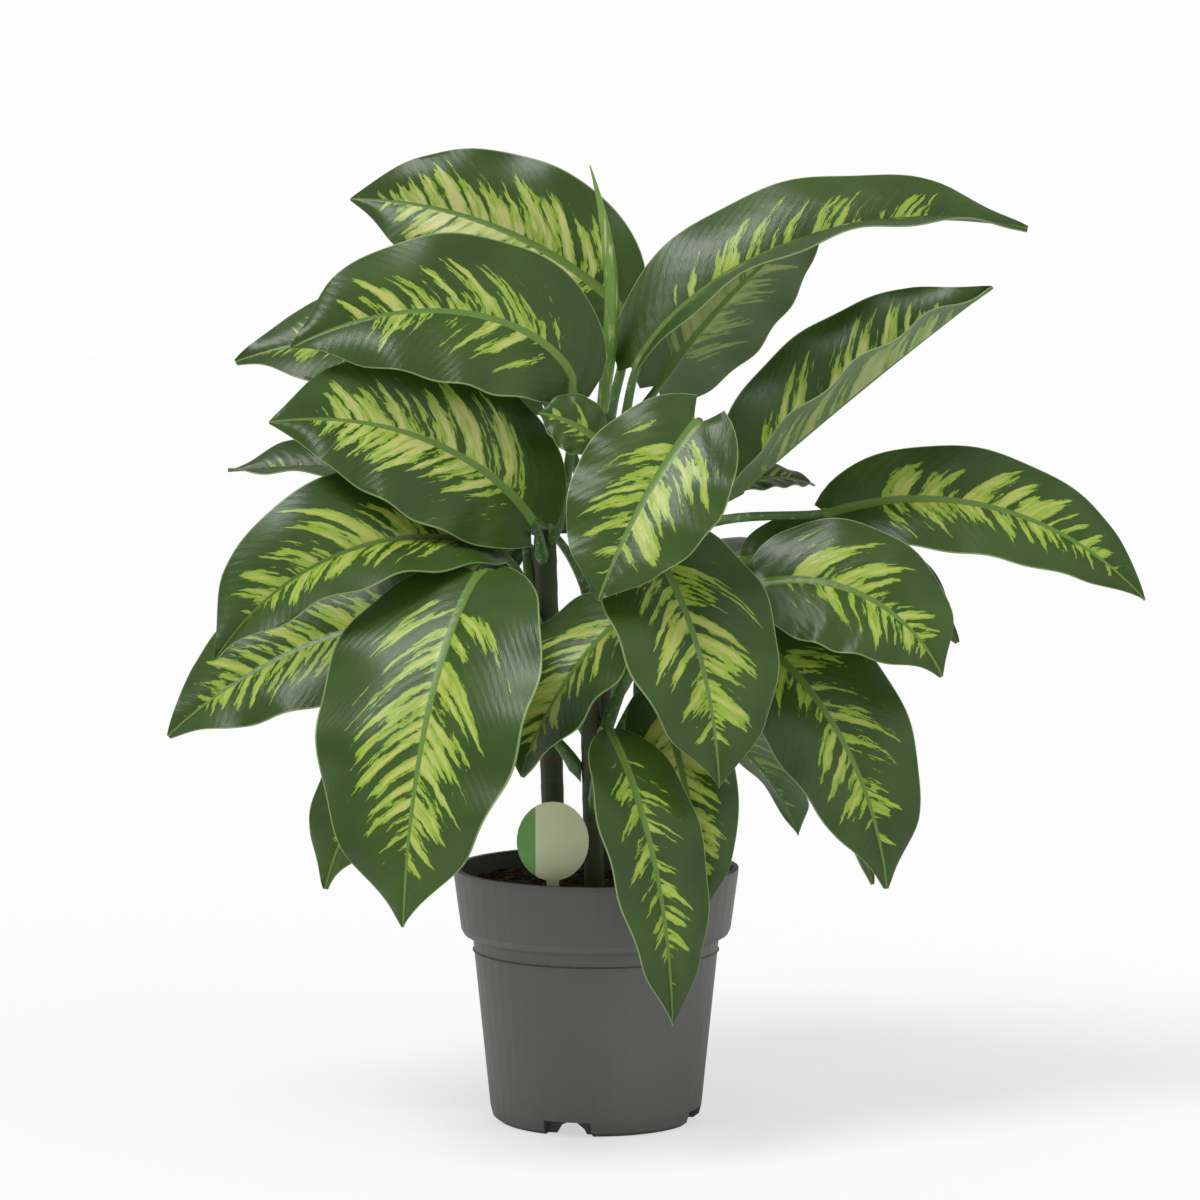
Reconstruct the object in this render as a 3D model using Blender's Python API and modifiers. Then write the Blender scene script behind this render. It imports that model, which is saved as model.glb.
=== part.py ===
"""Dieffenbachia in a grey nursery pot. Metres, +Z up, origin under the middle of the pot."""
import math

import bmesh
import bpy
from mathutils import Matrix, Vector

MM = 0.001
GAP = 0.3 * MM                      # clearance between touching pieces

# Pot
RIM_RADIUS = 95 * MM
POT_HEIGHT = 169 * MM
BAND_HEIGHT = 40 * MM               # deep rim band
BAND_STEP = 8 * MM                  # how far the body steps in under the band
BASE_RADIUS = 70 * MM
WALL = 2 * MM
BAND_BOTTOM = POT_HEIGHT - BAND_HEIGHT
BAND_FOOT_RADIUS = RIM_RADIUS - 5 * MM
SHOULDER_HEIGHT = BAND_BOTTOM - 4 * MM
NECK_RADIUS = BAND_FOOT_RADIUS - BAND_STEP
TURN_STEPS = 48
FLOOR_TOP = 12 * MM
RECESS = 9 * MM                     # hollow under the floor, inside the foot ring
PAD_RADIUS = 22 * MM                # flat pad in the middle of the underside
NOTCH_ANGLES = (-106, -16, 74, 164)  # foot notches, degrees round the pot
NOTCH_WIDTH = 32 * MM
NOTCH_HEIGHT = 10 * MM
HOLE_RADIUS = 5 * MM
HOLE_CIRCLE = 42 * MM

# Soil
SOIL_TOP = 157 * MM
SOIL_CROWN = 5 * MM
SOCKET_DEPTH = 40 * MM

# Label on its stake, and the still-rolled leaf on the tallest cane
LABEL_CENTRE = Vector((-28, -70, 196)) * MM
LABEL_SIZE = Vector((47, 1.2, 52)) * MM
STAKE_WIDTH = 8 * MM
STAKE_DEPTH = 28 * MM
NEW_LEAF_BEND = Vector((16, 16, 570)) * MM
NEW_LEAF_TIP = Vector((-4, 16, 634)) * MM

# Canes: foot x, y, top x, y, z and radius, in mm
CANES = {
    "cane_1": (-26, -4, -34, 0, 395, 8.0),
    "cane_2": (26, -8, 36, -4, 390, 8.0),
    "cane_3": (0, -40, -4, -50, 300, 7.0),
    "cane_4": (2, 34, 4, 26, 470, 8.5),
}

# Leaves. Blade base x, y, z in mm; azimuth (0 = +X, 90 = +Y), pitch and droop in degrees;
# bend < 1 droops early; roll > 0 lifts the right half; fold lifts the left and right halves;
# lobe is how far the basal lobes reach back, as a share of the half width.
LEAF_FIELDS = ("cane", "node", "base", "azimuth", "pitch", "droop", "bend", "sweep",
               "length", "half_width", "roll", "fold", "lobe")
LEAVES = {
    "leaf_top_left": ("cane_4", 455, (12, 50, 543), 165, 42, 42, 0.9, 0, 202, 54, 68, (0, 8), 0.3),
    "leaf_top_right_long": ("cane_4", 440, (30, 20, 506), 6, 60, 72, 0.7, 0, 290, 50, -46, (6, 44), 0.3),
    "leaf_dark_left": ("cane_1", 388, (-16, -22, 492), 188, 84, 112, 0.45, 0, 206, 56, 62, (6, 6), 0.2),
    "leaf_left_back": ("cane_4", 405, (-42, 54, 482), 172, 30, 50, 1.0, 0, 212, 50, 46, (6, 6), 0.3),
    "leaf_left_bright": ("cane_1", 375, (-44, -40, 406), 186, 54, 62, 0.8, 0, 188, 58, 66, (8, 8), 0.3),
    "leaf_left_pointed": ("cane_1", 350, (-64, 14, 428), 176, 6, 10, 1.0, 0, 182, 40, 34, (30, 6), 0.2),
    "leaf_left_mid": ("cane_1", 325, (-68, -42, 384), 200, 20, 76, 0.9, 0, 212, 54, 58, (40, 6), 0.2),
    "leaf_lower_left": ("cane_1", 300, (-106, -6, 338), 178, -6, 38, 1.0, 0, 200, 52, 52, (6, 6), 0.3),
    "leaf_mid_left_back": ("cane_1", 285, (-54, 26, 381), 168, -22, 24, 1.0, 0, 140, 42, 50, (8, 8), 0.2),
    "leaf_front_big": ("cane_1", 288, (-78, -102, 368), -117, -34, 52, 0.6, 0, 236, 76, 0, (6, 6), 0.2),
    "leaf_low_left": ("cane_3", 235, (-92, -50, 282), 200, -30, 46, 1.0, 0, 150, 42, 30, (8, 8), 0.2),
    "leaf_centre_lower": ("cane_3", 262, (26, -56, 348), -152, -34, 36, 1.0, 0, 138, 54, 10, (8, 8), 0.2),
    "leaf_front_centre": ("cane_2", 375, (60, -96, 464), -145, -46, 20, 1.0, 0, 128, 50, 42, (4, 4), 0.5),
    "leaf_small_dark": ("cane_2", 383, (0, -48, 456), 186, 40, 30, 1.0, 0, 42, 22, 60, (6, 6), 0.2),
    "leaf_centre_right": ("cane_2", 350, (32, -66, 392), -56, -32, 54, 0.8, 0, 180, 58, -8, (6, 6), 0.3),
    "leaf_right_mid": ("cane_2", 320, (112, -38, 362), -12, 10, 76, 1.0, 0, 140, 48, -54, (6, 4), 0.3),
    "leaf_right_behind": ("cane_2", 335, (104, 26, 372), 4, 12, 70, 1.0, 0, 160, 36, -46, (6, 6), 0.2),
    "leaf_far_right": ("cane_2", 372, (162, 10, 406), -2, 15, 64, 1.0, 0, 222, 40, -58, (6, 6), 0.4),
    "leaf_small_back": ("cane_4", 345, (92, 66, 418), 15, 20, 40, 1.0, 0, 60, 20, -20, (6, 6), 0.1),
    "leaf_right_low": ("cane_2", 290, (98, -22, 328), -24, -28, 56, 0.8, 0, 200, 50, -44, (6, 6), 0.2),
    "leaf_right_low_back": ("cane_2", 265, (80, 34, 290), 2, -30, 46, 1.0, 0, 180, 32, -30, (6, 6), 0.2),
    "leaf_over_pot": ("cane_3", 215, (10, -108, 270), -56, -46, 42, 0.8, 0, 195, 38, 0, (8, 8), 0.1),
    "leaf_over_pot_back": ("cane_3", 240, (38, -52, 292), -62, -42, 44, 0.8, 0, 158, 35, -14, (8, 8), 0.1),
    "leaf_right_pale": ("cane_4", 425, (46, 92, 490), 2, 56, 22, 1.0, 0, 160, 50, 62, (8, 8), 0.3),
    "leaf_right_folded": ("cane_2", 385, (102, 0, 424), 2, 41, 4, 1.0, 0, 206, 58, -62, (6, 84), 0.3),
    "leaf_rear_high": ("cane_4", 412, (-16, 92, 500), 102, 44, 76, 0.9, 0, 210, 54, 0, (8, 8), 0.3),
    "leaf_rear_left": ("cane_4", 330, (-34, 92, 388), 124, 20, 70, 0.9, 0, 205, 54, 6, (8, 8), 0.3),
    "leaf_rear_right": ("cane_4", 315, (44, 90, 366), 62, 18, 66, 0.9, 0, 205, 54, -6, (8, 8), 0.3),
    "leaf_rear_mid": ("cane_4", 280, (2, 100, 322), 94, 4, 70, 0.9, 0, 195, 52, 0, (8, 8), 0.3),
    "leaf_rear_low_left": ("cane_4", 250, (-50, 84, 276), 142, -10, 56, 0.9, 0, 165, 44, 8, (8, 8), 0.2),
    "leaf_rear_low_right": ("cane_4", 235, (52, 82, 262), 42, -10, 54, 0.9, 0, 160, 44, -8, (8, 8), 0.2),
}

BLADE_RINGS = 12
PETIOLE_RINGS = 6
BLADE_THICKNESS = 0.9 * MM
MIDRIB_THICKNESS = 3.2 * MM
PETIOLE_RADIUS = 3.2 * MM
HALF_COLUMNS = (1.0, 0.5)           # places of the ring's points across each half blade


# ---------------------------------------------------------------- scene helpers
def clear_scene():
    for item in list(bpy.data.objects):
        bpy.data.objects.remove(item, do_unlink=True)


def make_collection(name):
    collection = bpy.data.collections.new(name)
    bpy.context.scene.collection.children.link(collection)
    return collection


def make_material(name, colour, roughness):
    material = bpy.data.materials.new(name)
    material.use_nodes = True
    shader = material.node_tree.nodes["Principled BSDF"]
    shader.inputs["Base Color"].default_value = (*colour, 1.0)
    shader.inputs["Roughness"].default_value = roughness
    shader.inputs["Metallic"].default_value = 0.0
    return material


def object_from_bmesh(name, bm, collection, material=None):
    bmesh.ops.recalc_face_normals(bm, faces=bm.faces)
    mesh = bpy.data.meshes.new(name)
    bm.to_mesh(mesh)
    bm.free()
    item = bpy.data.objects.new(name, mesh)
    collection.objects.link(item)
    if material:
        mesh.materials.append(material)
    return item


def turned(name, profile, steps, collection, material):
    """Solid of revolution from (radius, height) pairs, top to bottom, with the Screw modifier."""
    bm = bmesh.new()
    points = [bm.verts.new((r, 0.0, z)) for r, z in profile]
    for a, b in zip(points, points[1:]):
        bm.edges.new((a, b))
    item = object_from_bmesh(name, bm, collection, material)
    screw = item.modifiers.new("turn", "SCREW")
    screw.axis = "Z"
    screw.angle = math.tau
    screw.steps = screw.render_steps = steps
    screw.use_merge_vertices = True
    screw.merge_threshold = 0.00001
    screw.use_normal_calculate = True
    return item


def cut(item, cutter):
    cutter.hide_render = True
    cutter.display_type = "WIRE"
    boolean = item.modifiers.new("cut " + cutter.name, "BOOLEAN")
    boolean.operation = "DIFFERENCE"
    boolean.solver = "EXACT"
    boolean.object = cutter


def cylinder(name, radius, foot, top, collection, segments=16, material=None):
    """Round bar from foot to top."""
    axis = top - foot
    bm = bmesh.new()
    bmesh.ops.create_cone(bm, cap_ends=True, segments=segments, radius1=radius,
                          radius2=radius, depth=axis.length)
    turn = axis.to_track_quat("Z", "Y").to_matrix().to_4x4()
    bmesh.ops.transform(bm, matrix=Matrix.Translation((foot + top) / 2) @ turn, verts=bm.verts)
    return object_from_bmesh(name, bm, collection, material)


def box(name, size, centre, angle, collection, material=None):
    """Block of the given size, turned by angle degrees about Z after being moved to centre."""
    bm = bmesh.new()
    bmesh.ops.create_cube(bm, size=1.0)
    place = Matrix.Rotation(math.radians(angle), 4, "Z") @ Matrix.Translation(centre)
    bmesh.ops.transform(bm, matrix=place @ Matrix.Diagonal((*size, 1.0)), verts=bm.verts)
    return object_from_bmesh(name, bm, collection, material)


# ---------------------------------------------------------------- pot, soil and label
def pot_inside():
    """Inner face of the pot from the middle of the floor up to the rim, as (radius, height)."""
    return [
        (0.0, FLOOR_TOP),
        (BASE_RADIUS - 6 * MM, FLOOR_TOP),
        (BASE_RADIUS - WALL, FLOOR_TOP + 8 * MM),
        (NECK_RADIUS - WALL, SHOULDER_HEIGHT),
        (BAND_FOOT_RADIUS - WALL, BAND_BOTTOM + 2 * MM),
        (RIM_RADIUS - 4 * MM, POT_HEIGHT),
    ]


def inside_radius(z):
    """Inner radius of the rim band at height z."""
    (r0, z0), (r1, z1) = pot_inside()[-2:]
    return r0 + (r1 - r0) * (z - z0) / (z1 - z0)


def build_pot(parts, cutters):
    profile = pot_inside() + [
        (RIM_RADIUS, POT_HEIGHT),
        (RIM_RADIUS, POT_HEIGHT - 3 * MM),
        (BAND_FOOT_RADIUS, BAND_BOTTOM),
        (BAND_FOOT_RADIUS - 2 * MM, SHOULDER_HEIGHT),
        (NECK_RADIUS, SHOULDER_HEIGHT - 3 * MM),
        (NECK_RADIUS - 0.6 * MM, SHOULDER_HEIGHT - 10 * MM),
        (NECK_RADIUS + 0.4 * MM, SHOULDER_HEIGHT - 11 * MM),
        (NECK_RADIUS - 0.8 * MM, SHOULDER_HEIGHT - 12 * MM),
        (BASE_RADIUS + 0.6 * MM, 9 * MM),
        (BASE_RADIUS - 1 * MM, 3 * MM),
        (BASE_RADIUS - 5 * MM, 0.0),
        (BASE_RADIUS - 12 * MM, 0.0),
        (BASE_RADIUS - 13 * MM, RECESS),
        (PAD_RADIUS + 2 * MM, RECESS),
        (PAD_RADIUS, 0.0),
        (0.0, 0.0),
    ]
    pot = turned("pot", profile, TURN_STEPS, parts, make_material("pot_grey", (0.22, 0.22, 0.225), 0.55))
    for index, angle in enumerate(NOTCH_ANGLES):
        size = (26 * MM, NOTCH_WIDTH, 2 * NOTCH_HEIGHT)
        cut(pot, box(f"notch_cutter_{index}", size, Vector((BASE_RADIUS, 0, 0)),
                     angle, cutters))
        hole = Matrix.Rotation(math.radians(angle + 45), 3, "Z") @ Vector((HOLE_CIRCLE, 0, 0))
        cut(pot, cylinder(f"hole_cutter_{index}", HOLE_RADIUS, hole - Vector((0, 0, 0.01)),
                          hole + Vector((0, 0, 0.02)), cutters))
    return pot


def build_soil(parts, cutters):
    crown = [
        (0.0, SOIL_TOP + SOIL_CROWN),
        (40 * MM, SOIL_TOP + 0.8 * SOIL_CROWN),
        (75 * MM, SOIL_TOP + 1 * MM),
        (inside_radius(SOIL_TOP) - GAP, SOIL_TOP),
    ]
    sides = [(max(r - GAP, 0.0), z + GAP) for r, z in reversed(pot_inside()[:-1])]
    profile = crown + sides
    soil = turned("soil", profile, TURN_STEPS, parts, make_material("soil_brown", (0.09, 0.05, 0.03), 0.95))
    for name in CANES:
        foot, axis, radius = cane_line(name)
        start = foot - axis * GAP
        cut(soil, cylinder("socket_" + name, radius + GAP, start, foot + axis * 70 * MM, cutters))
    stake = LABEL_CENTRE.copy()
    stake.z = SOIL_TOP
    size = (STAKE_WIDTH + 2 * GAP, LABEL_SIZE.y + 2 * GAP, 2 * (STAKE_DEPTH + 2 * MM))
    cut(soil, box("stake_slot", size, stake, 0, cutters))
    return soil


def build_label(parts):
    """Oval disc on a narrow stake, cut from one sheet."""
    bm = bmesh.new()
    outline = []
    for k in range(29):
        angle = math.radians(-90 + 10 + 340 * k / 28)
        outline.append((LABEL_SIZE[0] / 2 * math.cos(angle), LABEL_SIZE[2] / 2 * math.sin(angle)))
    foot = SOIL_TOP - STAKE_DEPTH - LABEL_CENTRE.z
    outline += [(-STAKE_WIDTH / 2, foot), (STAKE_WIDTH / 2, foot)]
    front = [bm.verts.new((x, 0, z)) for x, z in outline]
    face = bm.faces.new(front)
    extruded = bmesh.ops.extrude_face_region(bm, geom=[face])
    moved = [v for v in extruded["geom"] if isinstance(v, bmesh.types.BMVert)]
    bmesh.ops.translate(bm, verts=moved, vec=(0, LABEL_SIZE[1], 0))
    place = LABEL_CENTRE - Vector((0, LABEL_SIZE[1] / 2, 0))
    bmesh.ops.translate(bm, verts=bm.verts, vec=place)
    return object_from_bmesh("plant_label", bm, parts,
                             make_material("label_cream", (0.78, 0.82, 0.66), 0.4))


# ---------------------------------------------------------------- canes
def cane_line(name):
    """Foot in the soil, unit axis and radius."""
    fx, fy, tx, ty, tz, radius = CANES[name]
    foot = Vector((fx, fy, (SOIL_TOP - SOCKET_DEPTH) / MM)) * MM
    top = Vector((tx, ty, tz)) * MM
    return foot, (top - foot).normalized(), radius * MM


def cane_point(name, height):
    foot, axis, _ = cane_line(name)
    return foot + axis * ((height - foot.z) / axis.z)


def build_cane(name, parts):
    foot, _, radius = cane_line(name)
    top = cane_point(name, CANES[name][4] * MM)
    return cylinder(name, radius, foot, top, parts, 12,
                    make_material(name + "_green", (0.12, 0.2, 0.07), 0.6))


# ---------------------------------------------------------------- leaves
def heading(azimuth, pitch):
    a, p = math.radians(azimuth), math.radians(pitch)
    return Vector((math.cos(a) * math.cos(p), math.sin(a) * math.cos(p), math.sin(p)))


def half_width_at(s, widest):
    """Ovate outline with a rounded base and a drawn-out tip."""
    power_base, power_tip = 0.46, 0.76
    peak = power_base / (power_base + power_tip)
    top = peak ** power_base * (1 - peak) ** power_tip
    return widest * s ** power_base * (1 - s) ** power_tip / top


def midrib(leaf, count):
    """Places along the midrib: share of the length, point, forward, side (to the left), up."""
    point = Vector(leaf["base"]) * MM
    step = leaf["length"] * MM / count
    places = []
    for k in range(count + 1):
        s = k / count
        azimuth = leaf["azimuth"] + leaf["sweep"] * s
        forward = heading(azimuth, leaf["pitch"] - leaf["droop"] * s ** leaf["bend"])
        side = heading(azimuth + 90, 0)
        side.rotate(Matrix.Rotation(math.radians(-leaf["roll"]), 3, forward))
        places.append((s, point.copy(), forward, side, forward.cross(side)))
        point += forward * step
    return places


def blade_ring(leaf, place):
    s, centre, forward, side, up = place
    s = min(max(s, 0.03), 0.985)
    wide = half_width_at(s, leaf["half_width"] * MM)
    back = leaf["lobe"] * leaf["half_width"] * MM * (1 - s) ** 5
    rib = MIDRIB_THICKNESS * (1 - 0.75 * s)
    top, bottom = [], []
    for sign, fold in ((1, leaf["fold"][0]), (-1, leaf["fold"][1])):
        lean = math.radians(fold)
        across = side * sign * math.cos(lean) + up * math.sin(lean)
        for share in HALF_COLUMNS if sign > 0 else reversed(HALF_COLUMNS):
            spot = centre + across * wide * share - forward * back * share
            normal = up * math.cos(lean) - side * sign * math.sin(lean)
            top.append(spot + normal * BLADE_THICKNESS / 2)
            bottom.append(spot - normal * BLADE_THICKNESS / 2)
        if sign > 0:
            top.append(centre + up * BLADE_THICKNESS / 2)
            bottom.append(centre - up * rib)
    return top + bottom[::-1]


def petiole_path(leaf):
    """Curve from the cane's side, out and up, into the start of the blade."""
    base = Vector(leaf["base"]) * MM
    joint = cane_point(leaf["cane"], leaf["node"] * MM)
    _, _, radius = cane_line(leaf["cane"])
    out = base - joint
    out.z = 0.0
    out.normalize()
    start = joint + out * (radius + GAP)
    reach = (base - start).length
    leave = start + out * reach * 0.15 + Vector((0, 0, reach * 0.35))
    arrive = base - heading(leaf["azimuth"], leaf["pitch"]) * reach * 0.3
    return out, (start, leave, arrive, base)


def bezier(points, t):
    a, b, c, d = points
    u = 1 - t
    return a * u ** 3 + b * 3 * u * u * t + c * 3 * u * t * t + d * t ** 3


def petiole_rings(leaf, side_end, up_end):
    out, curve = petiole_path(leaf)
    rings = []
    for k in range(PETIOLE_RINGS):
        t = 0.94 * k / PETIOLE_RINGS
        centre = bezier(curve, t)
        along = out if k == 0 else (bezier(curve, t + 0.01) - bezier(curve, t - 0.01)).normalized()
        side = (side_end - along * side_end.dot(along)).normalized()
        up = along.cross(side)
        radius = PETIOLE_RADIUS * (1.15 - 0.35 * t)
        ring = []
        for n in range(10):
            angle = math.tau * (n + 0.5) / 10
            ring.append(centre + side * radius * math.cos(angle) + up * radius * math.sin(angle))
        rings.append(ring)
    return rings


def build_leaf(name, parts):
    leaf = dict(zip(LEAF_FIELDS, LEAVES[name]))
    places = midrib(leaf, BLADE_RINGS)
    rings = petiole_rings(leaf, places[0][3], places[0][4])
    rings += [blade_ring(leaf, place) for place in places]
    bm = bmesh.new()
    loops = [[bm.verts.new(p) for p in ring] for ring in rings]
    for lower, upper in zip(loops, loops[1:]):
        for n in range(10):
            m = (n + 1) % 10
            bm.faces.new((lower[n], lower[m], upper[m], upper[n]))
    bm.faces.new(loops[0][::-1])
    bm.faces.new(loops[-1])
    bmesh.ops.triangulate(bm, faces=bm.faces)
    return object_from_bmesh(name, bm, parts, make_material(name + "_green", (0.1, 0.27, 0.05), 0.4))


def build_new_leaf(parts):
    """Still-rolled leaf: a slender spindle standing on the tallest cane."""
    foot = cane_point("cane_4", CANES["cane_4"][4] * MM + GAP)
    bm = bmesh.new()
    loops = []
    for k in range(13):
        t = k / 12
        centre = bezier((foot, foot.lerp(NEW_LEAF_BEND, 0.6), NEW_LEAF_BEND, NEW_LEAF_TIP), t)
        radius = (4.2 + 1.4 * math.sin(math.pi * t)) * (1 - t ** 4 * 0.85) * MM
        loops.append([bm.verts.new(centre + Vector((math.cos(a), math.sin(a), 0)) * radius)
                      for a in (math.tau * n / 10 for n in range(10))])
    for lower, upper in zip(loops, loops[1:]):
        for n in range(10):
            m = (n + 1) % 10
            bm.faces.new((lower[n], lower[m], upper[m], upper[n]))
    bm.faces.new(loops[0][::-1])
    bm.faces.new(loops[-1])
    return object_from_bmesh("new_leaf", bm, parts,
                             make_material("new_leaf_green", (0.3, 0.5, 0.12), 0.4))


def main():
    clear_scene()
    parts = make_collection("potted_dieffenbachia")
    cutters = make_collection("cutters")
    cutters.hide_render = True
    build_pot(parts, cutters)
    build_soil(parts, cutters)
    build_label(parts)
    for name in CANES:
        build_cane(name, parts)
    for name in LEAVES:
        build_leaf(name, parts)
    build_new_leaf(parts)


main()
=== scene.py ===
"""Looks for the potted dieffenbachia: fine leaves, stems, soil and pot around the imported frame."""

import math

import bmesh
import bpy
import numpy as np
from mathutils import Matrix, Vector
from mathutils import noise as mnoise


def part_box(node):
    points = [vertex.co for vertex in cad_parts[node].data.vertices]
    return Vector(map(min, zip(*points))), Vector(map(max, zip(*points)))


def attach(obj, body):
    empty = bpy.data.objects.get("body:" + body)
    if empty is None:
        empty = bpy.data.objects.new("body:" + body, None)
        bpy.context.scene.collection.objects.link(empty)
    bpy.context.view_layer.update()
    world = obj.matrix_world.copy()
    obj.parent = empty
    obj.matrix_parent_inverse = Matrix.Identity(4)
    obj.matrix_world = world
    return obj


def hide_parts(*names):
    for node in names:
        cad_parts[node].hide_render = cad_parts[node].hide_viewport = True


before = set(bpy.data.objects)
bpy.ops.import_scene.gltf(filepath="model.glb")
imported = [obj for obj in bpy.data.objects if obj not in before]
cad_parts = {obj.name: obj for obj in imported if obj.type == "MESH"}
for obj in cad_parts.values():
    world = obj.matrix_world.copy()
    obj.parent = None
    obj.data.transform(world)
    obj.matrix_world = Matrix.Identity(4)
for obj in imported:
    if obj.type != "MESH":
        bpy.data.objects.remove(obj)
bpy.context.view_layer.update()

MM = 0.001
GAP = 0.3 * MM
SEED = 7
BOX_TOLERANCE = 16 * MM             # a fine leaf may stand this far off its CAD node's box

# Leaf growth, the same terms as the CAD: blade base x, y, z in mm; azimuth, pitch and droop in
# degrees; bend < 1 droops early; roll > 0 lifts the right half; fold lifts the left and right
# halves; lobe is how far the basal lobes reach back, as a share of the half width.
LEAF_FIELDS = ("cane", "node", "base", "azimuth", "pitch", "droop", "bend", "sweep",
               "length", "half_width", "roll", "fold", "lobe")
LEAVES = {
    "leaf_top_left": ("cane_4", 455, (12, 50, 543), 165, 42, 42, 0.9, 0, 202, 54, 68, (0, 8), 0.3),
    "leaf_top_right_long": ("cane_4", 440, (30, 20, 506), 6, 60, 72, 0.7, 0, 290, 50, -46, (6, 44), 0.3),
    "leaf_dark_left": ("cane_1", 388, (-16, -22, 492), 188, 84, 112, 0.45, 0, 206, 56, 62, (6, 6), 0.2),
    "leaf_left_back": ("cane_4", 405, (-42, 54, 482), 172, 30, 50, 1.0, 0, 212, 50, 46, (6, 6), 0.3),
    "leaf_left_bright": ("cane_1", 375, (-44, -40, 406), 186, 54, 62, 0.8, 0, 188, 58, 66, (8, 8), 0.3),
    "leaf_left_pointed": ("cane_1", 350, (-64, 14, 428), 176, 6, 10, 1.0, 0, 182, 40, 34, (30, 6), 0.2),
    "leaf_left_mid": ("cane_1", 325, (-68, -42, 384), 200, 20, 76, 0.9, 0, 212, 54, 58, (40, 6), 0.2),
    "leaf_lower_left": ("cane_1", 300, (-106, -6, 338), 178, -6, 38, 1.0, 0, 200, 52, 52, (6, 6), 0.3),
    "leaf_mid_left_back": ("cane_1", 285, (-54, 26, 381), 168, -22, 24, 1.0, 0, 140, 42, 50, (8, 8), 0.2),
    "leaf_front_big": ("cane_1", 288, (-78, -102, 368), -117, -34, 52, 0.6, 0, 236, 76, 0, (6, 6), 0.2),
    "leaf_low_left": ("cane_3", 235, (-92, -50, 282), 200, -30, 46, 1.0, 0, 150, 42, 30, (8, 8), 0.2),
    "leaf_centre_lower": ("cane_3", 262, (26, -56, 348), -152, -34, 36, 1.0, 0, 138, 54, 10, (8, 8), 0.2),
    "leaf_front_centre": ("cane_2", 375, (60, -96, 464), -145, -46, 20, 1.0, 0, 128, 50, 42, (4, 4), 0.5),
    "leaf_small_dark": ("cane_2", 383, (0, -48, 456), 186, 40, 30, 1.0, 0, 42, 22, 60, (6, 6), 0.2),
    "leaf_centre_right": ("cane_2", 350, (32, -66, 392), -56, -32, 54, 0.8, 0, 180, 58, -8, (6, 6), 0.3),
    "leaf_right_mid": ("cane_2", 320, (112, -38, 362), -12, 10, 76, 1.0, 0, 140, 48, -54, (6, 4), 0.3),
    "leaf_right_behind": ("cane_2", 335, (104, 26, 372), 4, 12, 70, 1.0, 0, 160, 36, -46, (6, 6), 0.2),
    "leaf_far_right": ("cane_2", 372, (162, 10, 406), -2, 15, 64, 1.0, 0, 222, 40, -58, (6, 6), 0.4),
    "leaf_small_back": ("cane_4", 345, (92, 66, 418), 15, 20, 40, 1.0, 0, 60, 20, -20, (6, 6), 0.1),
    "leaf_right_low": ("cane_2", 290, (98, -22, 328), -24, -28, 56, 0.8, 0, 200, 50, -44, (6, 6), 0.2),
    "leaf_right_low_back": ("cane_2", 265, (80, 34, 290), 2, -30, 46, 1.0, 0, 180, 32, -30, (6, 6), 0.2),
    "leaf_over_pot": ("cane_3", 215, (10, -108, 270), -56, -46, 42, 0.8, 0, 195, 38, 0, (8, 8), 0.1),
    "leaf_over_pot_back": ("cane_3", 240, (38, -52, 292), -62, -42, 44, 0.8, 0, 158, 35, -14, (8, 8), 0.1),
    "leaf_right_pale": ("cane_4", 425, (46, 92, 490), 2, 56, 22, 1.0, 0, 160, 50, 62, (8, 8), 0.3),
    "leaf_right_folded": ("cane_2", 385, (102, 0, 424), 2, 41, 4, 1.0, 0, 206, 58, -62, (6, 84), 0.3),
    "leaf_rear_high": ("cane_4", 412, (-16, 92, 500), 102, 44, 76, 0.9, 0, 210, 54, 0, (8, 8), 0.3),
    "leaf_rear_left": ("cane_4", 330, (-34, 92, 388), 124, 20, 70, 0.9, 0, 205, 54, 6, (8, 8), 0.3),
    "leaf_rear_right": ("cane_4", 315, (44, 90, 366), 62, 18, 66, 0.9, 0, 205, 54, -6, (8, 8), 0.3),
    "leaf_rear_mid": ("cane_4", 280, (2, 100, 322), 94, 4, 70, 0.9, 0, 195, 52, 0, (8, 8), 0.3),
    "leaf_rear_low_left": ("cane_4", 250, (-50, 84, 276), 142, -10, 56, 0.9, 0, 165, 44, 8, (8, 8), 0.2),
    "leaf_rear_low_right": ("cane_4", 235, (52, 82, 262), 42, -10, 54, 0.9, 0, 160, 44, -8, (8, 8), 0.2),
}

# Canes: foot x, y, top x, y, z and radius, in mm
CANES = {
    "cane_1": (-26, -4, -34, 0, 395, 8.0),
    "cane_2": (26, -8, 36, -4, 390, 8.0),
    "cane_3": (0, -40, -4, -50, 300, 7.0),
    "cane_4": (2, 34, 4, 26, 470, 8.5),
}

# How strongly each leaf is marked (0 to 1) and how pale its markings are; the rest are average
DEFAULT_LOOK = (0.55, 0.35)
LOOKS = {
    "leaf_top_left": (0.78, 0.85), "leaf_left_bright": (0.72, 0.7), "leaf_right_folded": (0.66, 0.7),
    "leaf_right_pale": (0.66, 0.7), "leaf_top_right_long": (0.34, 0.3), "leaf_dark_left": (0.5, 0.55),
    "leaf_front_big": (0.54, 0.4), "leaf_left_pointed": (0.4, 0.2), "leaf_left_mid": (0.6, 0.3),
    "leaf_over_pot": (0.4, 0.2), "leaf_right_low": (0.42, 0.3), "leaf_centre_lower": (0.62, 0.35),
    "leaf_small_dark": (0.45, 0.3), "leaf_low_left": (0.2, 0.1), "leaf_right_low_back": (0.3, 0.2),
    "leaf_right_mid": (0.6, 0.35), "leaf_over_pot_back": (0.7, 0.3), "leaf_lower_left": (0.6, 0.25),
}

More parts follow.
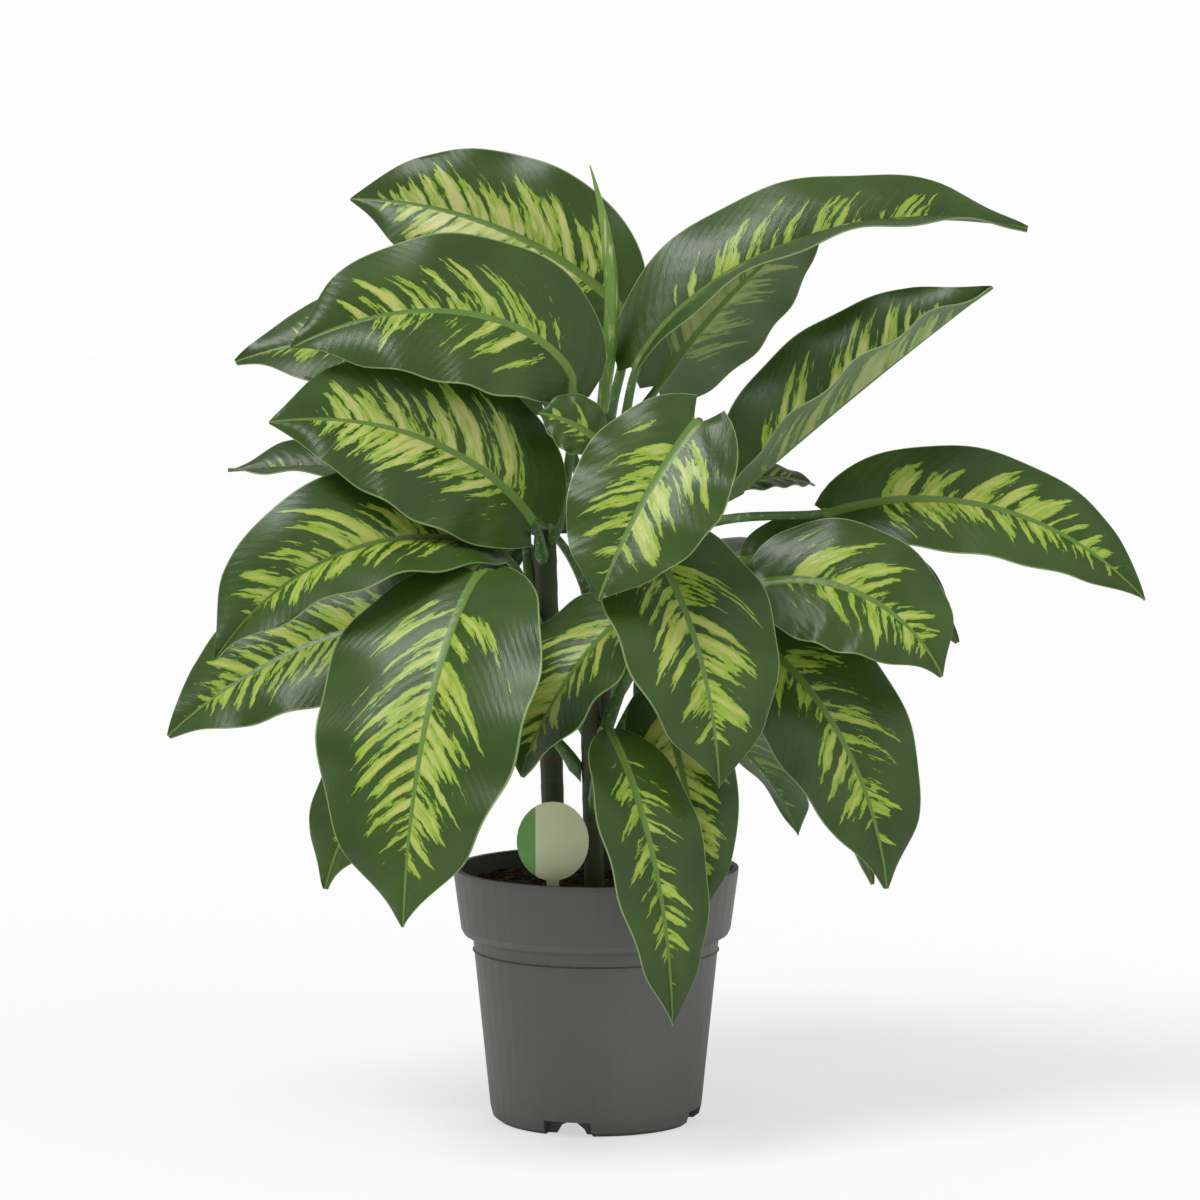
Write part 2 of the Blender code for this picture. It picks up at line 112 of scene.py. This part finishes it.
BLADE_RINGS = 46
PETIOLE_RINGS = 14
HALF_COUNT = 12                     # points across each half blade
BLADE_THICKNESS = 0.8 * MM
MIDRIB_THICKNESS = 2.6 * MM
PETIOLE_RADIUS = 3.2 * MM
GROOVE_DEPTH = 0.5 * MM             # hollow over the midrib
GROOVE_WIDTH = 2.5 * MM
KEEL_WIDTH = 2.4 * MM               # ridge under the midrib
WAVE_HEIGHT = 2.6 * MM              # waves of the margin, on a leaf of average width
HALF_WAVES = 7.5                    # along one margin
CROWN_HEIGHT = 4.5 * MM             # bulge of each half blade
QUILT_HEIGHT = 0.5 * MM             # small bulges between the side veins
AVERAGE_HALF_WIDTH = 60             # mm
TOP, UNDER, STALK = 0, 1, 2         # material slots of a leaf

SCAR_SPACING = 17 * MM              # between the leaf scars of a cane
NEW_LEAF_BEND = (16, 16, 570)       # mm
NEW_LEAF_TIP = (-4, 16)             # mm; the tip's height comes from the CAD box

SOIL_CROWN = 5 * MM                 # rise of the CAD soil's middle above its edge
SOCKET_DEPTH = 40 * MM              # how deep a cane stands in the soil
SOIL_CLEARANCE = 0.5 * MM
SOIL_NECK = 79 * MM                 # soil radius just under the pot's rim band, and at its foot
SOIL_FOOT = 62 * MM
SOIL_RINGS, SOIL_SPOKES = 46, 120
CRUMBS = 1100

CAMERA_PLACE = (0.0027, -3.0, 0.617)
CAMERA_DIP = 5.14                   # degrees below the horizon
CAMERA_LENS = 136.4                 # mm on a 36 mm sensor
FLOOR_RADIUS = 14.0
FLOOR_WHITE = 0.6                   # share of plain white in the floor that the camera sees


# ---------------------------------------------------------------- node material helpers
class Shader:
    """Short way to write a node material."""

    def __init__(self, name, roughness, specular=0.5):
        self.material = bpy.data.materials.new(name)
        self.material.use_nodes = True
        self.tree = self.material.node_tree
        self.bsdf = self.tree.nodes["Principled BSDF"]
        self.bsdf.inputs["Roughness"].default_value = roughness
        self.bsdf.inputs["Specular IOR Level"].default_value = specular

    def node(self, kind, inputs=None, **settings):
        made = self.tree.nodes.new(kind)
        for key, value in settings.items():
            setattr(made, key, value)
        for key, value in (inputs or {}).items():
            self.put(made.inputs[key], value)
        return made

    def put(self, socket, value):
        if isinstance(value, bpy.types.NodeSocket):
            self.tree.links.new(value, socket)
        else:
            socket.default_value = value

    def math(self, operation, a, b=0.0, c=0.0):
        return self.node("ShaderNodeMath", {0: a, 1: b, 2: c}, operation=operation).outputs[0]

    def ramp(self, value, low, high):
        """Smooth 0 to 1 between low and high."""
        made = self.node("ShaderNodeMapRange", {"Value": value, "From Min": low, "From Max": high},
                         interpolation_type="SMOOTHSTEP")
        return made.outputs["Result"]

    def mix(self, factor, a, b):
        made = self.node("ShaderNodeMix", data_type="RGBA")
        self.put(made.inputs["Factor"], factor)
        self.put(made.inputs["A"], a if isinstance(a, bpy.types.NodeSocket) else (*a, 1.0))
        self.put(made.inputs["B"], b if isinstance(b, bpy.types.NodeSocket) else (*b, 1.0))
        return made.outputs["Result"]

    def split(self, vector):
        return self.node("ShaderNodeSeparateXYZ", {0: vector}).outputs[:3]

    def uv(self, name):
        return self.split(self.node("ShaderNodeUVMap", uv_map=name).outputs[0])[:2]

    def vector(self, x, y, z=0.0):
        return self.node("ShaderNodeCombineXYZ", {0: x, 1: y, 2: z}).outputs[0]

    def noise(self, vector, scale, detail=3.0, roughness=0.5):
        made = self.node("ShaderNodeTexNoise", {"Vector": vector, "Scale": scale, "Detail": detail,
                                                "Roughness": roughness})
        return made.outputs["Fac"]

    def place(self):
        return self.node("ShaderNodeTexCoord").outputs["Object"]

    def finish(self, colour, height=None, distance=0.0005, strength=0.5, roughness=None):
        self.put(self.bsdf.inputs["Base Color"], colour)
        if roughness is not None:
            self.put(self.bsdf.inputs["Roughness"], roughness)
        if height is not None:
            bump = self.node("ShaderNodeBump", {"Height": height, "Distance": distance,
                                                "Strength": strength})
            self.put(self.bsdf.inputs["Normal"], bump.outputs[0])
        return self.material


def leaf_material(name, look, seed, under=False):
    """Dark leaf with yellow-green streaks that run out along the side veins."""
    amount, pale = look
    s = Shader(name, 0.42, 0.4)
    vein, across = s.uv("vein")              # cm along a side vein's family, cm from the midrib
    share, along = s.uv("blade")             # share of the half width, share of the length
    out = s.math("ABSOLUTE", across)
    edge = s.math("ABSOLUTE", share)
    side = s.math("MULTIPLY", s.math("SIGN", across), 3.0)
    wobble = s.noise(s.vector(vein, out, seed + 5.0), 1.3, 2.0)
    crossing = s.math("MULTIPLY_ADD", wobble, 0.5, vein)
    broad = s.noise(s.vector(crossing, s.math("MULTIPLY", out, 0.1), s.math("ADD", side, seed)),
                    1.25, 2.0, 0.5)
    ragged = s.noise(s.vector(crossing, s.math("MULTIPLY", out, 0.26), s.math("ADD", side, seed + 9.0)),
                     2.5, 4.0, 0.62)
    field = s.math("MULTIPLY_ADD", ragged, 0.5, s.math("MULTIPLY", broad, 0.7))
    # streaks thin out towards the margin, the base and the tip
    fade = s.math("MULTIPLY", s.math("POWER", edge, 2.2), 0.36)
    fade = s.math("ADD", fade, s.math("MULTIPLY", s.ramp(along, 0.72, 1.0), 0.22))
    fade = s.math("ADD", fade, s.math("MULTIPLY", s.ramp(along, 0.22, 0.0), 0.2))
    level = s.math("SUBTRACT", field, fade)
    threshold = 0.69 - 0.24 * amount
    streak = s.ramp(level, threshold, threshold + 0.025)
    patch = s.noise(s.place(), 22.0, 2.0)
    green = s.mix(patch, (0.014, 0.042, 0.004), (0.055, 0.112, 0.012))
    yellow = s.mix(s.ramp(level, threshold + 0.02, threshold + 0.16), (0.24, 0.38, 0.03),
                   (0.38 + 0.17 * pale, 0.45 + 0.1 * pale, 0.06 + 0.16 * pale))
    colour = s.mix(streak, green, yellow)
    if under:
        colour = s.mix(0.45, colour, (0.20, 0.29, 0.13))
    width = s.math("MULTIPLY_ADD", along, -0.30, 0.36)
    rib = s.math("SUBTRACT", 1.0, s.ramp(s.math("DIVIDE", out, width), 0.8, 1.1))
    colour = s.mix(rib, colour, (0.12, 0.215, 0.035))
    margin = s.ramp(edge, 0.978, 0.995)
    colour = s.mix(margin, colour, (0.22, 0.31, 0.11))
    ripple = s.math("SINE", s.math("MULTIPLY", crossing, 8.0))
    fine = s.noise(s.vector(s.math("MULTIPLY", vein, 3.0), out, seed), 3.0, 3.0)
    height = s.math("MULTIPLY_ADD", ripple, 0.2, s.math("MULTIPLY", fine, 0.8))
    rough = s.math("MULTIPLY_ADD", patch, 0.2, 0.48 if under else 0.24)
    return s.finish(colour, height, 0.0007, 0.3, rough)


def stalk_material():
    """Petioles: green with paler flecks."""
    s = Shader("petiole_green", 0.45)
    fleck = s.noise(s.place(), 260.0, 3.0)
    broad = s.noise(s.place(), 25.0, 2.0)
    colour = s.mix(broad, (0.055, 0.13, 0.03), (0.12, 0.24, 0.06))
    colour = s.mix(s.ramp(fleck, 0.56, 0.66), colour, (0.24, 0.34, 0.14))
    return s.finish(colour, fleck, 0.0004, 0.3)


def cane_material():
    """Green stem with brown rings; both greens are darkened as painted shade from the leaves above."""
    s = Shader("cane_bark", 0.6)
    z = s.split(s.place())[2]
    ring = s.noise(s.vector(0.0, 0.0, z), 130.0, 2.0)
    broad = s.noise(s.place(), 60.0, 4.0)
    # painted shade: the stem's two greens are darker than its own colour, for the shade under the leaves
    colour = s.mix(broad, (0.03, 0.05, 0.015), (0.085, 0.105, 0.04))
    colour = s.mix(s.ramp(ring, 0.55, 0.68), colour, (0.11, 0.075, 0.04))
    return s.finish(colour, s.math("ADD", ring, broad), 0.0008, 0.6)


def new_leaf_material():
    """Fresh green with pale streaks along the rolled blade."""
    s = Shader("new_leaf_green", 0.4)
    broad = s.noise(s.place(), 60.0, 3.0)
    x, y, z = s.split(s.place())
    streak = s.noise(s.vector(x, y, s.math("MULTIPLY", z, 0.12)), 420.0, 2.0)
    colour = s.mix(broad, (0.10, 0.23, 0.03), (0.22, 0.36, 0.07))
    colour = s.mix(s.ramp(streak, 0.55, 0.65), colour, (0.42, 0.5, 0.2))
    return s.finish(colour, streak, 0.0004, 0.4)


def soil_material():
    """Dark brown fibres with paler ones among them."""
    s = Shader("soil_fibres", 0.95, 0.2)
    grain = s.noise(s.place(), 240.0, 5.0, 0.7)
    broad = s.noise(s.place(), 45.0, 3.0)
    colour = s.mix(s.ramp(grain, 0.35, 0.7), (0.02, 0.011, 0.006), (0.13, 0.07, 0.035))
    colour = s.mix(s.ramp(broad, 0.55, 0.75), colour, (0.19, 0.105, 0.055))
    return s.finish(colour, grain, 0.002, 0.9)


def pot_material():
    """Matt grey moulded plastic with scuffs and dark specks."""
    s = Shader("pot_plastic", 0.5, 0.4)
    place = s.place()
    broad = s.noise(place, 20.0, 5.0)
    colour = s.mix(broad, (0.098, 0.099, 0.094), (0.124, 0.125, 0.118))
    x, y, z = s.split(place)
    scratch = s.noise(s.vector(x, y, s.math("MULTIPLY", z, 0.15)), 420.0, 2.0)
    colour = s.mix(s.math("MULTIPLY", s.ramp(scratch, 0.68, 0.78), 0.12), colour, (0.24, 0.24, 0.24))
    speck = s.node("ShaderNodeTexVoronoi", {"Vector": place, "Scale": 190.0}).outputs["Distance"]
    dark = s.math("MULTIPLY", s.math("SUBTRACT", 1.0, s.ramp(speck, 0.03, 0.07)), 0.6)
    colour = s.mix(dark, colour, (0.05, 0.045, 0.04))
    grain = s.noise(place, 1400.0, 2.0)
    return s.finish(colour, grain, 0.0002, 0.25, s.math("MULTIPLY_ADD", broad, 0.2, 0.4))


def label_material():
    """Plain card: pale field with a green strip down one side."""
    s = Shader("label_card", 0.4, 0.4)
    x = s.split(s.place())[0]
    low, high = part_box("plant_label")
    strip = low.x + 0.26 * (high.x - low.x)
    mottle = s.noise(s.place(), 90.0, 3.0)
    field = s.mix(mottle, (0.70, 0.74, 0.44), (0.80, 0.82, 0.55))
    green = s.mix(mottle, (0.10, 0.30, 0.05), (0.22, 0.45, 0.12))
    colour = s.mix(s.ramp(x, strip - 0.4 * MM, strip + 0.4 * MM), green, field)
    return s.finish(colour, mottle, 0.0002, 0.2)


# ---------------------------------------------------------------- mesh helpers
def smooth(low, high, value):
    """0 at low, 1 at high, with an easy start and end."""
    t = min(max((value - low) / (high - low), 0.0), 1.0)
    return t * t * (3 - 2 * t)


def show(name, mesh, materials, slot, *nodes, sharp=40):
    """Links a finished mesh as a piece that stands for CAD nodes."""
    item = bpy.data.objects.new(name, mesh)
    bpy.context.scene.collection.objects.link(item)
    for material in materials:
        mesh.materials.append(material)
    mesh.polygons.foreach_set("use_smooth", [True] * len(mesh.polygons))
    mesh.set_sharp_from_angle(angle=math.radians(sharp))
    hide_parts(*nodes)
    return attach(item, "root")


def loft(rings):
    """Closed skin over rings of points; every ring has the same count."""
    count = len(rings[0])
    vertices = [tuple(p) for ring in rings for p in ring]
    faces = []
    for k in range(len(rings) - 1):
        for n in range(count):
            m = (n + 1) % count
            faces.append((k * count + n, k * count + m, (k + 1) * count + m, (k + 1) * count + n))
    faces.append(tuple(range(count))[::-1])
    faces.append(tuple((len(rings) - 1) * count + n for n in range(count)))
    mesh = bpy.data.meshes.new("loft")
    mesh.from_pydata(vertices, [], faces)
    return mesh


def face_outward(mesh):
    bm = bmesh.new()
    bm.from_mesh(mesh)
    bmesh.ops.recalc_face_normals(bm, faces=bm.faces)
    bm.to_mesh(mesh)
    bm.free()
    return mesh


def bezier(points, t):
    a, b, c, d = points
    u = 1 - t
    return a * u ** 3 + b * 3 * u * u * t + c * 3 * u * t * t + d * t ** 3


# ---------------------------------------------------------------- leaves
def heading(azimuth, pitch):
    a, p = math.radians(azimuth), math.radians(pitch)
    return Vector((math.cos(a) * math.cos(p), math.sin(a) * math.cos(p), math.sin(p)))


def half_width_at(s, widest):
    """Ovate outline with a rounded base and a drawn-out tip."""
    power_base, power_tip = 0.46, 0.76
    peak = power_base / (power_base + power_tip)
    top = peak ** power_base * (1 - peak) ** power_tip
    width = widest * s ** power_base * (1 - s) ** power_tip / top
    return width * (1 - 0.45 * smooth(0.8, 1.0, s))


def midrib(leaf, count):
    """Places along the midrib: share of the length, point, forward, side (to the left), up."""
    point = Vector(leaf["base"]) * MM
    step = leaf["length"] * MM / count
    places = []
    for k in range(count + 1):
        s = k / count
        azimuth = leaf["azimuth"] + leaf["sweep"] * s
        forward = heading(azimuth, leaf["pitch"] - leaf["droop"] * s ** leaf["bend"])
        side = heading(azimuth + 90, 0)
        side.rotate(Matrix.Rotation(math.radians(-leaf["roll"]), 3, forward))
        places.append((s, point.copy(), forward, side, forward.cross(side)))
        point += forward * step
    return places


def blade_ring(leaf, place, phase):
    """Points of one ring, top from left to right then back underneath, with their leaf places."""
    s, centre, forward, side, up = place
    inner = min(max(s, 0.006), 0.997)
    wide = half_width_at(inner, leaf["half_width"] * MM)
    scale = leaf["half_width"] / AVERAGE_HALF_WIDTH
    top, bottom, marks = [], [], []
    columns = [(1, 1 - k / HALF_COUNT) for k in range(HALF_COUNT)] + [(1, 0.0)]
    columns += [(-1, (k + 1) / HALF_COUNT) for k in range(HALF_COUNT)]
    for sign, share in columns:
        lean = math.radians(leaf["fold"][0 if sign > 0 else 1])
        across = side * sign * math.cos(lean) + up * math.sin(lean)
        normal = up * math.cos(lean) - side * sign * math.sin(lean)
        back = leaf["lobe"] * leaf["half_width"] * MM * (1 - inner) ** 5
        wave = WAVE_HEIGHT * scale * share ** 2 * math.sin(HALF_WAVES * math.tau * inner / 2 + phase + sign)
        crown = CROWN_HEIGHT * scale * math.sin(math.pi * share) * math.sin(math.pi * inner)
        quilt = QUILT_HEIGHT * math.sin((inner * leaf["length"] - 0.6 * share * wide / MM) * 0.62)
        lift = wave * smooth(0.0, 0.15, inner) + crown + quilt * share * (1 - share) * 3
        spot = centre + across * wide * share - forward * back * share + normal * lift
        groove = GROOVE_DEPTH * math.exp(-(share * wide / GROOVE_WIDTH) ** 2)
        keel = MIDRIB_THICKNESS * (1 - 0.75 * inner) * math.exp(-(share * wide / KEEL_WIDTH) ** 2)
        top.append(spot + normal * (BLADE_THICKNESS / 2 - groove))
        bottom.append(spot - normal * (BLADE_THICKNESS / 2 + keel))
        distance = share * wide / MM / 10
        vein = inner * leaf["length"] / 10 - 0.7 * distance - 0.08 * distance ** 2
        marks.append(((vein, sign * distance), (sign * share, inner)))
    return top + bottom[::-1], marks + marks[::-1]


def petiole_curve(leaf):
    """Curve from the cane's side, out and up, into the start of the blade, and its way out."""
    base = Vector(leaf["base"]) * MM
    joint = cane_point(leaf["cane"], leaf["node"] * MM)
    radius_cane = CANES[leaf["cane"]][5] * MM
    out = base - joint
    out.z = 0.0
    out.normalize()
    start = joint + out * (radius_cane + GAP)
    reach = (base - start).length
    leave = start + out * reach * 0.15 + Vector((0, 0, reach * 0.35))
    arrive = base - heading(leaf["azimuth"], leaf["pitch"]) * reach * 0.3
    return out, (start, leave, arrive, base)


def petiole_rings(leaf, side_end, count):
    """Rings of the petiole, thicker where it leaves the cane."""
    out, curve = petiole_curve(leaf)
    rings = []
    for k in range(PETIOLE_RINGS):
        t = 0.97 * k / PETIOLE_RINGS
        centre = bezier(curve, t)
        along = out if k == 0 else (bezier(curve, t + 0.01) - bezier(curve, t - 0.01)).normalized()
        side = (side_end - along * side_end.dot(along)).normalized()
        up = along.cross(side)
        radius = PETIOLE_RADIUS * (1.15 - 0.35 * t + 0.5 * (1 - smooth(0.0, 0.3, t)) * (k > 0))
        rings.append([centre + side * radius * math.cos(math.tau * (n + 0.5) / count)
                      + up * radius * math.sin(math.tau * (n + 0.5) / count) for n in range(count)])
    return rings


def write_leaf_places(mesh, marks):
    """UV layers vein (cm along the veins, cm from the midrib) and blade (shares of width and length)."""
    for number, layer_name in enumerate(("vein", "blade")):
        layer = mesh.uv_layers.new(name=layer_name)
        for loop in mesh.loops:
            layer.data[loop.index].uv = marks[loop.vertex_index][number]


def leaf_faces(mesh, count, blade_start):
    """Material slot of each face; the blade's rings start at vertex blade_start."""
    kinds = []
    for polygon in mesh.polygons:
        blade = TOP if polygon.index % count < count // 2 else UNDER
        kinds.append(STALK if min(polygon.vertices) < blade_start - count else blade)
    return kinds


def build_leaf(name, index, stalk):
    """Petiole, midrib and blade as one skin, from the leaf's growth terms."""
    leaf = dict(zip(LEAF_FIELDS, LEAVES[name]))
    places = midrib(leaf, BLADE_RINGS)
    blades = [blade_ring(leaf, place, 1.7 * index) for place in places]
    count = len(blades[0][0])
    stalks = petiole_rings(leaf, places[0][3], count)
    mesh = loft(stalks + [ring for ring, _ in blades])
    marks = [((0.0, 0.0), (0.0, 0.0))] * (len(stalks) * count) + [m for _, ring in blades for m in ring]
    write_leaf_places(mesh, marks)
    kinds = leaf_faces(mesh, count, len(stalks) * count)
    look = LOOKS.get(name, DEFAULT_LOOK)
    item = show(name + "_fine", mesh, [leaf_material(name + "_top", look, index * 3.1),
                                       leaf_material(name + "_under", look, index * 3.1, under=True),
                                       stalk], "leaf", name, sharp=70)
    mesh.polygons.foreach_set("material_index", kinds)
    face_outward(mesh)
    check_place(item, name)


def check_place(item, node):
    """Says so if a fine leaf strays from its CAD solid's box."""
    low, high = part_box(node)
    points = np.array([v.co for v in item.data.vertices])
    off = max(float(np.max(np.array(low) - points.min(0))), float(np.max(points.max(0) - np.array(high))))
    if off > BOX_TOLERANCE:
        print(f"{item.name} stands {off * 1000:.0f} mm outside its CAD box")


# ---------------------------------------------------------------- stems
def cane_point(name, height):
    """Middle of a cane at the given height."""
    fx, fy, tx, ty, tz, _ = CANES[name]
    foot_height = (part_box("soil")[1].z - SOIL_CROWN - SOCKET_DEPTH) / MM
    foot = Vector((fx, fy, foot_height)) * MM
    top = Vector((tx, ty, tz)) * MM
    axis = (top - foot).normalized()
    return foot + axis * ((height - foot.z) / axis.z)


def build_cane(name, material):
    """Ringed stem, thicker at each leaf scar and drawn in at the top."""
    low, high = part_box(name)
    radius = CANES[name][5] * MM
    rings = []
    steps, sides = 90, 28
    for k in range(steps + 1):
        z = low.z + (high.z - low.z) * k / steps
        centre = cane_point(name, min(max(z, low.z + 1 * MM), high.z - 1 * MM))
        scar = abs(math.sin(z / SCAR_SPACING * math.pi)) ** 0.35
        r = radius * (0.93 + 0.06 * (1 - scar)) * (1 - 0.5 * smooth(0.97, 1.0, k / steps))
        rings.append([centre + Vector((math.cos(a), math.sin(a), 0)) * r
                      for a in (math.tau * n / sides for n in range(sides))])
    show(name + "_fine", face_outward(loft(rings)), [material], "cane", name)


def build_new_leaf():
    """Spindle with the spiral edge of the rolled blade."""
    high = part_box("new_leaf")[1]
    foot = cane_point("cane_4", CANES["cane_4"][4] * MM + GAP)
    tip = Vector((*NEW_LEAF_TIP, high.z / MM)) * MM
    bend = Vector(NEW_LEAF_BEND) * MM
    rings = []
    steps, sides = 60, 36
    for k in range(steps + 1):
        t = k / steps
        centre = bezier((foot, foot.lerp(bend, 0.6), bend, tip), t)
        radius = (4.2 + 1.4 * math.sin(math.pi * t)) * (1 - t ** 4 * 0.9) * MM
        ring = []
        for n in range(sides):
            a = math.tau * n / sides
            seam = ((a - t * 5.0) % math.tau) / math.tau
            r = radius * (0.86 + 0.14 * seam)
            ring.append(centre + Vector((math.cos(a), math.sin(a), 0)) * r)
        rings.append(ring)
    show("new_leaf_fine", face_outward(loft(rings)), [new_leaf_material()], "young_leaf", "new_leaf")


# ---------------------------------------------------------------- pot, soil and label
def soil_crown(x, y, surface, reach):
    """Height of the lumpy crown at x, y."""
    r = math.hypot(x, y) / reach
    lump = mnoise.noise(Vector((x, y, 0.0)) * 70) * 2.2 + mnoise.noise(Vector((x, y, 3.0)) * 230) * 1.3
    return surface + (4.0 * (1 - r * r) + lump * (1 - 0.4 * r)) * MM


def soil_loop(bm, r, height):
    """Ring of vertices at radius r; height gives z at x, y."""
    angles = [math.tau * n / SOIL_SPOKES for n in range(SOIL_SPOKES)]
    places = [(r * math.cos(a), r * math.sin(a)) for a in angles]
    return [bm.verts.new((x, y, height(x, y))) for x, y in places]


def add_soil_skin(bm, crown, reach, surface, foot):
    """Crown and sides as one closed skin."""
    loops = [[bm.verts.new((0, 0, crown(0, 0)))] * SOIL_SPOKES]
    for k in range(1, SOIL_RINGS + 1):
        loops.append(soil_loop(bm, reach * k / SOIL_RINGS, crown))
    for r, z in ((reach - 2.5 * MM, surface - 20 * MM), (SOIL_NECK, surface - 36 * MM),
                 (SOIL_FOOT, foot)):
        loops.append(soil_loop(bm, r, lambda x, y, z=z: z))
    for inner, outer in zip(loops, loops[1:]):
        for n in range(SOIL_SPOKES):
            m = (n + 1) % SOIL_SPOKES
            corners = [inner[n], outer[n], outer[m]]
            if inner[m] is not inner[n]:
                corners.append(inner[m])
            bm.faces.new(corners)
    bm.faces.new(loops[-1][::-1])


def scatter_crumbs(bm, crown, reach):
    """Fibres and crumbs lying on the crown."""
    rng = np.random.default_rng(SEED)
    for _ in range(CRUMBS):
        angle, r = rng.uniform(0, math.tau), reach * 0.97 * math.sqrt(rng.uniform(0, 1))
        x, y = r * math.cos(angle), r * math.sin(angle)
        length, thick = rng.uniform(1.5, 7.5) * MM, rng.uniform(0.4, 1.3) * MM
        made = bmesh.ops.create_icosphere(bm, subdivisions=1, radius=1.0)["verts"]
        turn = Matrix.Rotation(rng.uniform(0, math.tau), 4, "Z")
        turn @= Matrix.Rotation(rng.uniform(-0.5, 0.5), 4, "Y")
        place = Matrix.Translation((x, y, crown(x, y) + 0.5 * thick)) @ turn
        if r + length > reach:
            length = max(reach - r, thick)
        size = Matrix.Diagonal((length / 2, thick, thick * 0.8, 1))
        bmesh.ops.transform(bm, matrix=place @ size, verts=made)


def build_soil():
    """Lumpy crown with loose fibres and crumbs on it, over plain sides inside the pot."""
    low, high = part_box("soil")
    reach = high.x - SOIL_CLEARANCE
    surface = high.z - SOIL_CROWN

    def crown(x, y):
        return soil_crown(x, y, surface, reach)

    bm = bmesh.new()
    add_soil_skin(bm, crown, reach, surface, low.z)
    scatter_crumbs(bm, crown, reach)
    mesh = bpy.data.meshes.new("soil_fine")
    bm.to_mesh(mesh)
    bm.free()
    show("soil_fine", face_outward(mesh), [soil_material()], "soil", "soil")


def dress_cad_nodes():
    """The pot and the label keep their CAD shape and get their own finish."""
    for node, material in (("pot", pot_material()), ("plant_label", label_material())):
        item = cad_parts[node]
        item.data.materials.clear()
        item.data.materials.append(material)
        for polygon in item.data.polygons:
            polygon.material_index = 0
            polygon.use_smooth = True
        item.data.set_sharp_from_angle(angle=math.radians(30))


# ---------------------------------------------------------------- stage
def floor_material():
    """White floor that keeps a light shadow: part of what the camera sees of it is plain white."""
    s = Shader("floor_white", 0.9, 0.1)
    s.finish(s.mix(s.noise(s.place(), 3.0), (0.90, 0.90, 0.90), (0.91, 0.91, 0.91)))
    white = s.node("ShaderNodeEmission", {"Color": (0.99, 0.99, 0.99, 1.0), "Strength": 1.0})
    seen = s.math("MULTIPLY", s.node("ShaderNodeLightPath").outputs["Is Camera Ray"], FLOOR_WHITE)
    blend = s.node("ShaderNodeMixShader", {0: seen, 1: s.bsdf.outputs[0], 2: white.outputs[0]})
    s.put(s.tree.nodes["Material Output"].inputs["Surface"], blend.outputs[0])
    return s.material


def build_floor():
    bm = bmesh.new()
    bmesh.ops.create_circle(bm, cap_ends=True, segments=96, radius=FLOOR_RADIUS)
    bmesh.ops.translate(bm, verts=bm.verts, vec=(0, 0, -0.2 * MM))
    mesh = bpy.data.meshes.new("floor")
    bm.to_mesh(mesh)
    bm.free()
    floor = bpy.data.objects.new("floor", mesh)
    bpy.context.scene.collection.objects.link(floor)
    mesh.materials.append(floor_material())


def build_world():
    """Soft even light, with a near-white background for what the camera sees past the floor."""
    world = bpy.data.worlds.new("studio")
    bpy.context.scene.world = world
    world.use_nodes = True
    nodes, links = world.node_tree.nodes, world.node_tree.links
    sky = nodes["Background"]
    sky.inputs["Color"].default_value = (1, 1, 1, 1)
    sky.inputs["Strength"].default_value = 0.5
    seen = nodes.new("ShaderNodeBackground")
    seen.inputs["Color"].default_value = (0.985, 0.985, 0.985, 1)
    path = nodes.new("ShaderNodeLightPath")
    either = nodes.new("ShaderNodeMath")
    either.operation = "MAXIMUM"
    links.new(path.outputs["Is Camera Ray"], either.inputs[0])
    links.new(path.outputs["Is Transmission Ray"], either.inputs[1])
    blend = nodes.new("ShaderNodeMixShader")
    links.new(either.outputs[0], blend.inputs[0])
    links.new(sky.outputs[0], blend.inputs[1])
    links.new(seen.outputs[0], blend.inputs[2])
    links.new(blend.outputs[0], nodes["World Output"].inputs["Surface"])


def build_lamps():
    """Broad key light from the left and a weak fill from the right."""
    for name, direction, strength, spread in (("key", (-0.45, -0.4, 1.0), 1.9, 28),
                                              ("fill", (0.7, -0.6, 0.5), 0.35, 60)):
        lamp = bpy.data.lights.new(name, "SUN")
        lamp.energy = strength
        lamp.angle = math.radians(spread)
        item = bpy.data.objects.new(name, lamp)
        item.rotation_euler = Vector(direction).to_track_quat("Z", "Y").to_euler()
        bpy.context.scene.collection.objects.link(item)


def build_camera():
    """Three metres in front, a little above, looking slightly down."""
    data = bpy.data.cameras.new("camera")
    data.lens = CAMERA_LENS
    data.sensor_width = 36
    camera = bpy.data.objects.new("camera", data)
    camera.location = CAMERA_PLACE
    camera.rotation_euler = (math.radians(90 - CAMERA_DIP), 0, 0)
    bpy.context.scene.collection.objects.link(camera)
    bpy.context.scene.camera = camera
    bpy.context.scene.view_settings.view_transform = "Standard"


def main():
    build_camera()
    build_floor()
    build_world()
    build_lamps()
    dress_cad_nodes()
    build_soil()
    cane = cane_material()
    for name in CANES:
        build_cane(name, cane)
    stalk = stalk_material()
    for index, name in enumerate(LEAVES):
        build_leaf(name, index, stalk)
    build_new_leaf()


main()
